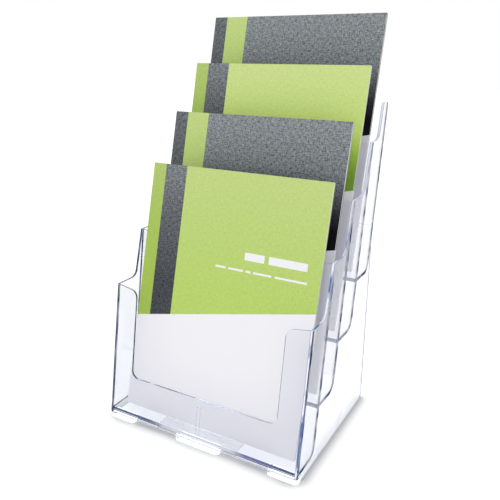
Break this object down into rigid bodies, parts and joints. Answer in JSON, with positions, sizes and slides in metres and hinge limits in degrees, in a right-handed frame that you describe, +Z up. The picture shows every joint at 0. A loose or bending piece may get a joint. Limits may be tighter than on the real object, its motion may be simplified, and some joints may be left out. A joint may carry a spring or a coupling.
{
  "type": "brochure rack",
  "caption": "Free-standing clear plastic rack with stepped, backward-leaning pockets, each with a U-shaped front cut-out and a stapled brochure that lifts out.",
  "frame": {"origin": "on the surface that the rack stands on, below the middle of the whole object, brochures included", "axes": "+X to the right seen from the front, +Y from the front to the back, +Z up"},
  "size_m": [0.238, 0.2288, 0.4392],
  "materials": {
    "clear_plastic": "crystal-clear polished polystyrene, edges look blue",
    "green_cover": "semi-matt coated paper, printed light green with a dark grey stripe, foot left white",
    "grey_cover": "semi-matt coated paper, printed dark grey with a light green stripe, foot left white",
    "pages": "uncoated white paper block",
    "staple_wire": "bright drawn wire"
  },
  "bodies": {
    "rack": {"side_panel_left": "clear_plastic", "side_panel_right": "clear_plastic", "front_foot_left": "clear_plastic", "front_foot_middle": "clear_plastic", "front_foot_right": "clear_plastic", "back_panel": "clear_plastic", "front_panel_1": "clear_plastic", "pocket_floor_1": "clear_plastic", "divider_ribs_1": "clear_plastic", "grip_pad_1": "clear_plastic", "front_panel_2": "clear_plastic", "pocket_floor_2": "clear_plastic", "divider_ribs_2": "clear_plastic", "grip_pad_2": "clear_plastic", "front_panel_3": "clear_plastic", "pocket_floor_3": "clear_plastic", "divider_ribs_3": "clear_plastic", "grip_pad_3": "clear_plastic", "front_panel_4": "clear_plastic", "pocket_floor_4": "clear_plastic", "divider_ribs_4": "clear_plastic", "grip_pad_4": "clear_plastic"},
    "brochure_1": {"brochure_1_cover": "green_cover", "brochure_1_pages": "pages", "brochure_1_staples": "staple_wire"},
    "brochure_2": {"brochure_2_cover": "grey_cover", "brochure_2_pages": "pages", "brochure_2_staples": "staple_wire"},
    "brochure_3": {"brochure_3_cover": "green_cover", "brochure_3_pages": "pages", "brochure_3_staples": "staple_wire"},
    "brochure_4": {"brochure_4_cover": "grey_cover", "brochure_4_pages": "pages", "brochure_4_staples": "staple_wire"}
  },
  "joints": [
    {"name": "brochure_1_lift", "type": "slide", "parent": "rack", "child": "brochure_1", "axis": [0, 0.2589, 0.9659], "range_m": [0, 0.16]},
    {"name": "brochure_2_lift", "type": "slide", "parent": "rack", "child": "brochure_2", "axis": [0, 0.2589, 0.9659], "range_m": [0, 0.16]},
    {"name": "brochure_3_lift", "type": "slide", "parent": "rack", "child": "brochure_3", "axis": [0, 0.2589, 0.9659], "range_m": [0, 0.16]},
    {"name": "brochure_4_lift", "type": "slide", "parent": "rack", "child": "brochure_4", "axis": [0, 0.2565, 0.9666], "range_m": [0, 0.16]}
  ]
}
